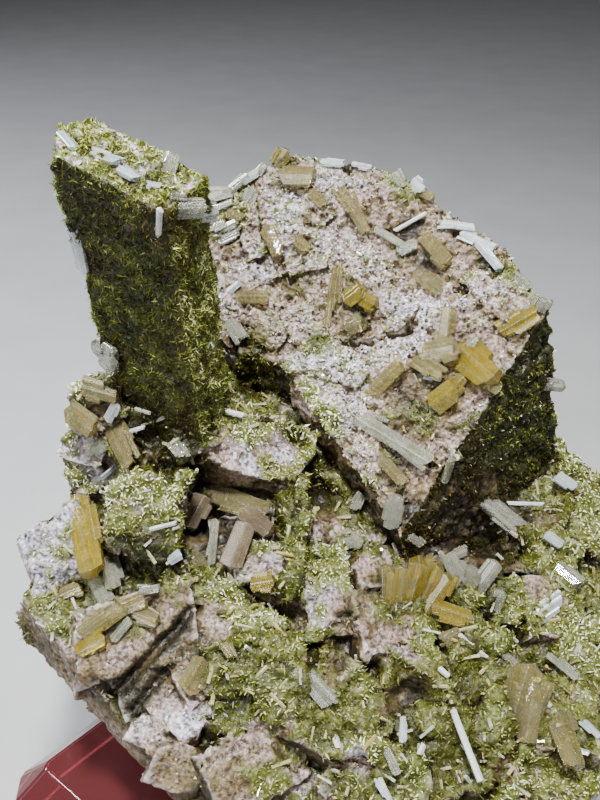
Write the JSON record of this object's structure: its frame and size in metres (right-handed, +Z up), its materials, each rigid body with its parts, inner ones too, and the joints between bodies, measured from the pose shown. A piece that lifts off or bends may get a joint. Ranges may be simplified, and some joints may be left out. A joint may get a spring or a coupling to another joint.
{
  "type": "epidote mineral specimen on an acrylic block",
  "caption": "Rough cluster of epidote-coated feldspar crystals with clear blades, resting on a bevelled red acrylic block.",
  "frame": {"origin": "middle of the acrylic block's underside, on the surface that it stands on", "axes": "+Z up, the pictured side faces -Y, +X to the right in the picture"},
  "size_m": [0.0647, 0.0692, 0.0767],
  "materials": {
    "acrylic": "polished, see-through",
    "mineral": "pinkish feldspar under granular yellow-green epidote, with clear honey-yellow and white blades"
  },
  "bodies": {
    "root": {"stand": "acrylic", "epidote_cluster": "mineral"}
  },
  "joints": []
}
